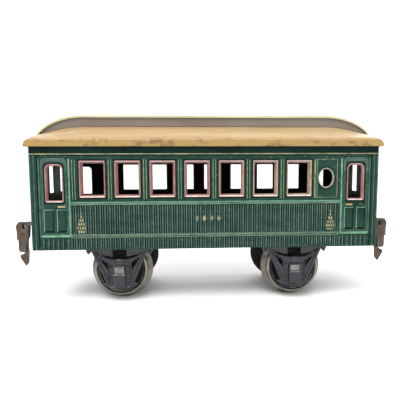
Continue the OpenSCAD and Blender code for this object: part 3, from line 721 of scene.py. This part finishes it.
def stations(half, flat, count, r):
    """Places from -half to half: count steps over the flat part, then closer ones in the rounding."""
    side = [flat + (half - r - flat) * i / count for i in range(count + 1)]
    side += [half - r * (1 - math.sin(math.radians(a))) for a in range(10, 91, 10)]
    if flat > 0:
        side = [flat * i / 10 for i in range(1, 10)] + side
    side = [v for v in side if v > 1e-6]
    return [-v for v in reversed(side)] + [0.0] + side


def grid_shell(bm, xs, ys, top, under, material=0):
    """A skin over a grid with a second one under it, joined round the rim."""
    def grid(at):
        return [[bm.verts.new(at(i, j)) for j in range(len(ys))] for i in range(len(xs))]
    upper, lower = grid(top), grid(under)
    for rows in (upper, lower):
        for i in range(len(xs) - 1):
            for j in range(len(ys) - 1):
                face(bm, (rows[i][j], rows[i + 1][j], rows[i + 1][j + 1], rows[i][j + 1]), material)
    last_i, last_j = len(xs) - 1, len(ys) - 1
    for i in range(last_i):
        for j in (0, last_j):
            face(bm, (upper[i][j], upper[i + 1][j], lower[i + 1][j], lower[i][j]), material)
    for j in range(last_j):
        for i in (0, last_i):
            face(bm, (upper[i][j], upper[i][j + 1], lower[i][j + 1], lower[i][j]), material)


def roof_deck():
    xs = stations(HALF_ROOF, BOW_X, 24, ROUND_END)
    xs = [xs[0]] + xs + [xs[-1]]
    ys = stations(HALF_EAVE, 0.0, 24, ROUND_EAVE)
    ys = [ys[0]] + ys + [ys[-1]]
    thick = 0.7

    def foot(i, j):
        return i in (0, len(xs) - 1) or j in (0, len(ys) - 1)

    def top(i, j):
        z = max(deck_z(xs[i], ys[j]), EAVE_LOW + 0.4)
        return xs[i], ys[j], EAVE_LOW if foot(i, j) else z

    def under(i, j):
        x, y = xs[i] * (1 - thick / HALF_ROOF), ys[j] * (1 - thick / HALF_EAVE)
        z = max(deck_z(xs[i], ys[j]) - thick - 0.2, EAVE_LOW + 0.2)
        return x, y, EAVE_LOW if foot(i, j) else z
    bm = bmesh.new()
    grid_shell(bm, xs, ys, top, under)
    piece("roof_deck_skin", bm, [ROOF], "roof", ("roof_deck",), sharp=50)


CAP_HALF = CAP_HIGH[1]
CAP_END = CAP_HIGH[0] - BOW_X
CAP_EDGE_Z = 120.9
CAP_CREST_Z = CAP_HIGH[2]
CAP_END_Z = 108.0
CAP_SLANT = 1.4


def cap_angles():
    bow = [math.radians(a) for a in range(3, 91, 3)]
    return [-a for a in reversed(bow)] + [(-BOW_X + i * 8, None) for i in range(21)] + bow


def cap_place(angle, inset):
    """Along-coach place, edge height and crown at one station of the cap."""
    if isinstance(angle, tuple):
        return angle[0], CAP_EDGE_Z - inset, CAP_CREST_Z - CAP_EDGE_Z
    x = math.copysign(BOW_X + (CAP_END - inset) * math.sin(abs(angle)), angle)
    level = max(0.0, math.cos(angle))
    z = CAP_END_Z + (CAP_EDGE_Z - CAP_END_Z - inset) * level ** CAP_SLANT
    return x, z, (CAP_CREST_Z - CAP_EDGE_Z) * (0.42 + 0.58 * level)


def clerestory_cap():
    angles = cap_angles()
    ys = [CAP_HALF * j / 12 for j in range(-12, 13)]

    def at(i, j, inset):
        x, z, crown = cap_place(angles[i], inset)
        return x, ys[j], z + crown * (1 - (ys[j] / CAP_HALF) ** 2)
    bm = bmesh.new()

    def under(i, j):
        x, y, z = at(i, j, 0.7)
        return x, y, z - (0.55 if j in (0, len(ys) - 1) else 0.0)
    grid_shell(bm, angles, ys, lambda i, j: at(i, j, 0.0), under)
    piece("clerestory_cap_skin", bm, [CREAM], "roof", ("clerestory_cap",), sharp=50)


# ---- running gear ----
AXLE_X = (AXLE_LOW[0] + AXLE_HIGH[0]) / 2
AXLE_Z = (AXLE_LOW[2] + AXLE_HIGH[2]) / 2
GUARD_Y = -GUARD_LOW[1]
SPRING_HALF = 16.0
SPRING_Z, SPRING_RISE = 25.0, 6.3
GAP_Z, GAP_RISE = 29.4, 3.8
BOX_HALF = (BOX_HIGH[0] - BOX_LOW[0]) / 2
BOX_SPLIT_Z = 18.6
TYRE_SEAT_R = 15.55
LID = 1


def sag(u, low, rise):
    """Height of a curve that bows up towards both ends of the spring; u is from its middle."""
    return low + rise * (u / SPRING_HALF) ** 2


def leaf_spring(node, sx, sy):
    """Four thin leaves of falling length, clamped by a buckle."""
    bm = bmesh.new()
    leaves, steps = 4, 16
    y0 = -GUARD_Y - 0.02
    for k in range(leaves):
        half = SPRING_HALF - 2.4 * (leaves - 1 - k)
        y1 = -GUARD_Y - 1.9 + 0.12 * k
        rings = []
        for i in range(-steps, steps + 1):
            u = half * i / steps
            out = abs(u) / SPRING_HALF
            z = sag(u, SPRING_Z, SPRING_RISE) + 0.86 * k * (1 - 0.45 * out)
            top = z + 0.72 * (1 - 0.4 * out)
            x = AXLE_X + u
            rings.append([(x, y0, z), (x, y1, z), (x, y1, top), (x, y0, top)])
        loft(bm, rings, caps=True)
    bar(bm, AXLE_X - 1.8, AXLE_X + 1.8, 24.9, 28.6, GUARD_Y + 1.4, 0.55, 0.3)
    place(bm, sx, sy)
    piece(node + "_skin", bm, [TRUCK], "coach_body", (node,))


def both(half):
    """Completes a half outline, drawn at u >= 0, with its mirror image."""
    return half + [(-u, z) for u, z in reversed(half) if u > 0]


def axle_guard(node, sx, sy):
    """A stamped guard with rolled edges, and raised strips down its pedestal."""
    bm = bmesh.new()
    low, top = GUARD_LOW[2], GUARD_HIGH[2] - 0.05
    foot_r = 18.8
    turns = [math.radians(a) for a in range(36, -1, -3)]
    foot = [(foot_r * math.sin(a), low + foot_r * (1 - math.cos(a))) for a in turns]
    edge = [(20.5, top), (20.5, 35.5), (21.4, 34.0), (20.0, 31.0), (18.9, 33.4), (18.0, 33.4),
            (14.0, 24.5), (9.0, 12.7), (11.0, 12.7)] + foot
    curve = [(u, sag(u, GAP_Z, GAP_RISE)) for u in [4.4] + [float(u) for u in range(5, 15)]]
    gap = [(0.0, 34.3), (4.4, 34.3)] + curve
    gap += [(10.8, 26.0), (7.6, 21.2), (7.6, 26.5), (0.0, 26.5)]
    outlines = [[(AXLE_X + u, z) for u, z in both(line)] for line in (edge, gap)]
    plate(bm, outlines, GUARD_Y, 1.5, 0, 0.3)
    for e in (-1, 1):
        strip = AXLE_X + e * 6.9
        bar(bm, strip - 0.5, strip + 0.5, 12.4, 25.8, GUARD_Y, 0.5, 0.35)
        rings = []
        for u, z in ((16.0, 32.6), (13.0, 26.0), (9.8, 18.8), (8.1, 14.0)):
            x = AXLE_X + e * u
            rings.append([(x - 0.8, -GUARD_Y + 0.05, z), (x - 0.35, -GUARD_Y - 0.45, z),
                          (x + 0.35, -GUARD_Y - 0.45, z), (x + 0.8, -GUARD_Y + 0.05, z)])
        loft(bm, rings, caps=True)
    bar(bm, AXLE_X - 6.4, AXLE_X + 6.4, 9.4, 10.3, GUARD_Y, 0.4, 0.3)
    place(bm, sx, sy)
    piece("pressed_" + node, bm, [TRUCK], "coach_body", (node,))


def lathe(bm, profile, end, side, steps):
    """Turns a closed profile of (radius, place along the axle, material) points about an axle."""
    loops = []
    for k in range(steps):
        t = 2 * math.pi * k / steps
        loops.append([bm.verts.new((end * AXLE_X + r * math.cos(t), side * y, AXLE_Z + r * math.sin(t)))
                      for r, y, look in profile])
    looks = [look for r, y, look in profile]
    for low, high in zip(loops, loops[1:] + loops[:1]):
        for i, look in enumerate(looks):
            k = (i + 1) % len(looks)
            face(bm, (low[i], low[k], high[k], high[i]), look)


def wheelset(end):
    return "wheelset_right" if end > 0 else "wheelset_left"


def tyre(node, end, side):
    """A turned tyre: flange and inner face in black enamel as painted shade, bright tread, rings cut in
    the outer face.
    """
    bm = bmesh.new()
    # The middle look, black enamel, is painted shade on the flange and inner face.
    bright, dark, dull = range(3)
    r = (TYRE_HIGH[2] - TYRE_LOW[2]) / 2
    y_in, y_out = TYRE_LOW[1], TYRE_HIGH[1]
    lathe(bm, [(TYRE_SEAT_R, y_in + 0.1, dark), (r - 1.2, y_in, dark), (r - 0.35, y_in + 0.35, dark),
               (r, y_in + 0.85, dark), (r - 0.1, y_in + 1.15, dull), (r - 0.6, y_in + 1.5, dull),
               (18.3, y_in + 1.7, dull), (17.1, y_in + 2.4, bright), (16.95, y_in + 3.0, bright),
               (16.8, y_out - 0.5, bright), (16.6, y_out - 0.12, bright), (16.35, y_out, bright),
               (16.15, y_out, dull), (16.05, y_out - 0.25, dull), (15.9, y_out - 0.25, bright),
               (15.8, y_out, bright), (15.6, y_out - 0.1, dull), (TYRE_SEAT_R, y_out - 0.4, dull)],
          end, side, 96)
    piece("turned_" + node, bm, [TREAD, BLACK, STEEL], wheelset(end), (node,))


def wheel_disc(node, end, side):
    """Wheel centre: hub with a bright axle end, dished web with a pressed ring, and a rim."""
    bm = bmesh.new()
    web, metal = range(2)
    y_in, y_out = TYRE_LOW[1], TYRE_HIGH[1]
    axle_r, rim_r = 1.55, 15.45
    lathe(bm, [(axle_r, y_in - 0.9, metal), (4.2, y_in - 1.0, web), (4.45, y_in - 0.7, web),
               (4.5, y_in + 2.4, web), (6.0, y_in + 2.5, web), (12.8, y_in + 2.4, web),
               (13.8, y_in + 2.0, web), (14.0, y_in + 0.7, web), (rim_r, y_in + 0.65, web),
               (rim_r, y_out - 0.55, web), (14.4, y_out - 0.55, metal), (13.95, y_out - 0.8, web),
               (13.5, y_in + 4.7, web), (11.6, y_in + 4.5, web), (11.2, y_in + 5.0, web),
               (9.4, y_in + 5.0, web), (9.0, y_in + 4.4, web), (4.5, y_in + 4.25, web),
               (4.1, y_out + 1.1, web), (3.8, y_out + 1.35, web), (axle_r, y_out + 1.35, metal)],
          end, side, 72)
    piece("dished_" + node, bm, [BLACK, STEEL], wheelset(end), (node,))


def place(bm, sx, sy):
    """Mirrors a piece drawn at the right front into its quarter."""
    bm.transform(Matrix.Diagonal((sx, sy, 1, 1)))


def axle_box(node, sx, sy):
    """Axle box: body with bevelled cover plate and a lid above it; lid and edge strips in lighter grey
    are a painted highlight.
    """
    bm = bmesh.new()
    x0, x1 = AXLE_X - BOX_HALF, AXLE_X + BOX_HALF
    low, high = BOX_LOW[2], BOX_HIGH[2]
    reach = -BOX_LOW[1] - GUARD_Y
    bar(bm, x0, x1, low, BOX_SPLIT_Z, GUARD_Y, reach, 0.35)
    bar(bm, x0 + 0.2, x1 - 0.2, BOX_SPLIT_Z, high, GUARD_Y, reach - 0.5, 0.3)
    bar(bm, x0 + 0.8, x1 - 0.8, BOX_SPLIT_Z + 0.9, high - 0.9, GUARD_Y + 1.9, reach - 2.0, 0.25, LID)
    for z in (BOX_SPLIT_Z - 0.1, low + 0.5):
        bar(bm, x0 + 0.1, x1 - 0.1, z - 0.35, z + 0.35, GUARD_Y + 2.0, 0.55, 0.2, LID)
    place(bm, sx, sy)
    piece(node + "_cover", bm, [TRUCK, BOX_LID], "coach_body", (node,))


def rivet_head(bm, x, z, r, high):
    """A round head on the guard's face: rings that close towards the top."""
    turns = [2 * math.pi * i / 14 for i in range(14)]
    rings = []
    for k in range(5):
        a = math.pi / 2 * k / 4.4
        across = r * math.cos(a)
        rings.append([(x + across * math.cos(t), -GUARD_Y - high * math.sin(a), z + across * math.sin(t))
                      for t in turns])
    loft(bm, rings, caps=True)


def rivets(node, turn):
    """Round-headed rivets in the guards."""
    bm = bmesh.new()
    for s in (-1, 1):
        for e in (-1, 1):
            for z in (12.6, 16.2, 19.8, 23.4):
                rivet_head(bm, s * AXLE_X + e * 5.6, z, 0.7, 0.55)
            rivet_head(bm, s * AXLE_X + e * 18.9, 33.0, 0.9, 0.75)
    piece("heads_" + node, bm, [TRUCK], "coach_body", (node,), turn=turn)


# ---- plain CAD nodes get finished materials ----
def paint_nodes():
    looks = {"side_sheet": GREEN, "end_sheet": GREEN, "window_frames": COPPER, "door_handles": BRASS,
             "floor_pan": BLACK, "stretcher": BLACK, "axle_guard": TRUCK, "leaf_spring": TRUCK,
             "axle_box": TRUCK, "guard_rivets": TRUCK, "coupler_bracket": TRUCK, "coupler_rivet": STEEL,
             "roof_deck": ROOF, "clerestory_walls": WALL, "clerestory_cap": CREAM, "roof_clips": TIN,
             "axle_left": STEEL, "axle_right": STEEL, "wheel_tyre": STEEL, "wheel_centre": BLACK,
             "drawbar": TIN, "hook_pin": TIN, "coupler_hook": TIN}
    for name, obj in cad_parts.items():
        for start, material in looks.items():
            if name.startswith(start):
                for slot in obj.material_slots:
                    slot.material = material


# ---- stage ----
def stage():
    """A pale floor that bends up into a backdrop."""
    floor = bpy.data.meshes.new("floor")
    bm = bmesh.new()
    near_y, bend_y, bend_r, top_z, half_w = -3.0, 1.3, 0.6, 3.0, 4.0
    turns = [math.radians(a) for a in range(10, 91, 10)]
    profile = [(near_y, 0.0), (bend_y, 0.0)]
    profile += [(bend_y + bend_r * math.sin(a), bend_r * (1 - math.cos(a))) for a in turns]
    profile.append((bend_y + bend_r, top_z))
    rows = [[bm.verts.new((x, y, z)) for y, z in profile] for x in (-half_w, half_w)]
    for k in range(len(profile) - 1):
        bm.faces.new((rows[0][k], rows[1][k], rows[1][k + 1], rows[0][k + 1]))
    bm.to_mesh(floor)
    bm.free()
    floor.shade_smooth()
    obj = bpy.data.objects.new("floor", floor)
    scene.collection.objects.link(obj)
    paper = Nodes("paper")
    tone = paper.ramp(paper.noise(3, 2), [(0.3, 0.90), (0.7, 0.93)])
    floor.materials.append(paper.finish(tone, 0.9))


def area_light(name, place_at, aim, size, power, colour=(1, 1, 1)):
    data = bpy.data.lights.new(name, "AREA")
    data.shape = "RECTANGLE"
    data.size, data.size_y = size
    data.energy = power
    data.color = colour
    obj = bpy.data.objects.new(name, data)
    obj.location = place_at
    obj.rotation_euler = (Vector(aim) - Vector(place_at)).to_track_quat("-Z", "Y").to_euler()
    scene.collection.objects.link(obj)


def lights():
    area_light("key", (-0.25, -0.55, 1.0), (0, 0, 0.06), (1.0, 0.6), 13)
    area_light("fill_front", (0.3, -1.2, 0.25), (0, 0, 0.07), (1.6, 0.8), 3)
    area_light("back_top", (0.1, 1.0, 0.9), (0, 0, 0.08), (1.6, 0.7), 10)
    area_light("backdrop", (0, 0.5, 1.3), (0, 1.9, 0.5), (2.4, 0.4), 14)
    world = bpy.data.worlds.new("studio")
    world.use_nodes = True
    world.node_tree.nodes["Background"].inputs["Color"].default_value = (1, 1, 1, 1)
    world.node_tree.nodes["Background"].inputs["Strength"].default_value = 0.8
    scene.world = world
    scene.view_settings.view_transform = "Standard"


def camera():
    """A view from a little left of the middle, below the roof's edge, looking slightly down."""
    yaw, pitch, roll = 0.051, 0.082, -0.004
    eye = Vector((-0.010885, -0.267429, 0.085244))
    data = bpy.data.cameras.new("camera")
    data.sensor_width = 36.0
    data.lens = 33.012
    data.shift_x = -0.0235
    obj = bpy.data.objects.new("camera", data)
    right = Vector((math.cos(yaw), -math.sin(yaw), 0))
    level = math.cos(pitch)
    ahead = Vector((math.sin(yaw) * level, math.cos(yaw) * level, -math.sin(pitch)))
    up = right.cross(ahead)
    turned_right = math.cos(roll) * right + math.sin(roll) * up
    turned_up = -math.sin(roll) * right + math.cos(roll) * up
    matrix = Matrix((turned_right, turned_up, -ahead)).transposed().to_4x4()
    matrix.translation = eye
    obj.matrix_world = matrix
    data.clip_start = 0.01
    scene.collection.objects.link(obj)
    scene.camera = obj


camera()
paint_nodes()
for side, turned in (("front", False), ("back", True)):
    side_sheet("side_sheet_" + side, turned)
    window_frames("window_frames_" + side, turned)
    rivets("guard_rivets_" + side, turned)
roof_deck()
clerestory_cap()
for end, sx in (("left", -1), ("right", 1)):
    for side, sy in (("front", 1), ("back", -1)):
        corner = "_%s_%s" % (end, side)
        leaf_spring("leaf_spring" + corner, sx, sy)
        axle_guard("axle_guard" + corner, sx, sy)
        tyre("wheel_tyre" + corner, sx, -sy)
        wheel_disc("wheel_centre" + corner, sx, -sy)
        axle_box("axle_box" + corner, sx, sy)
stage()
lights()
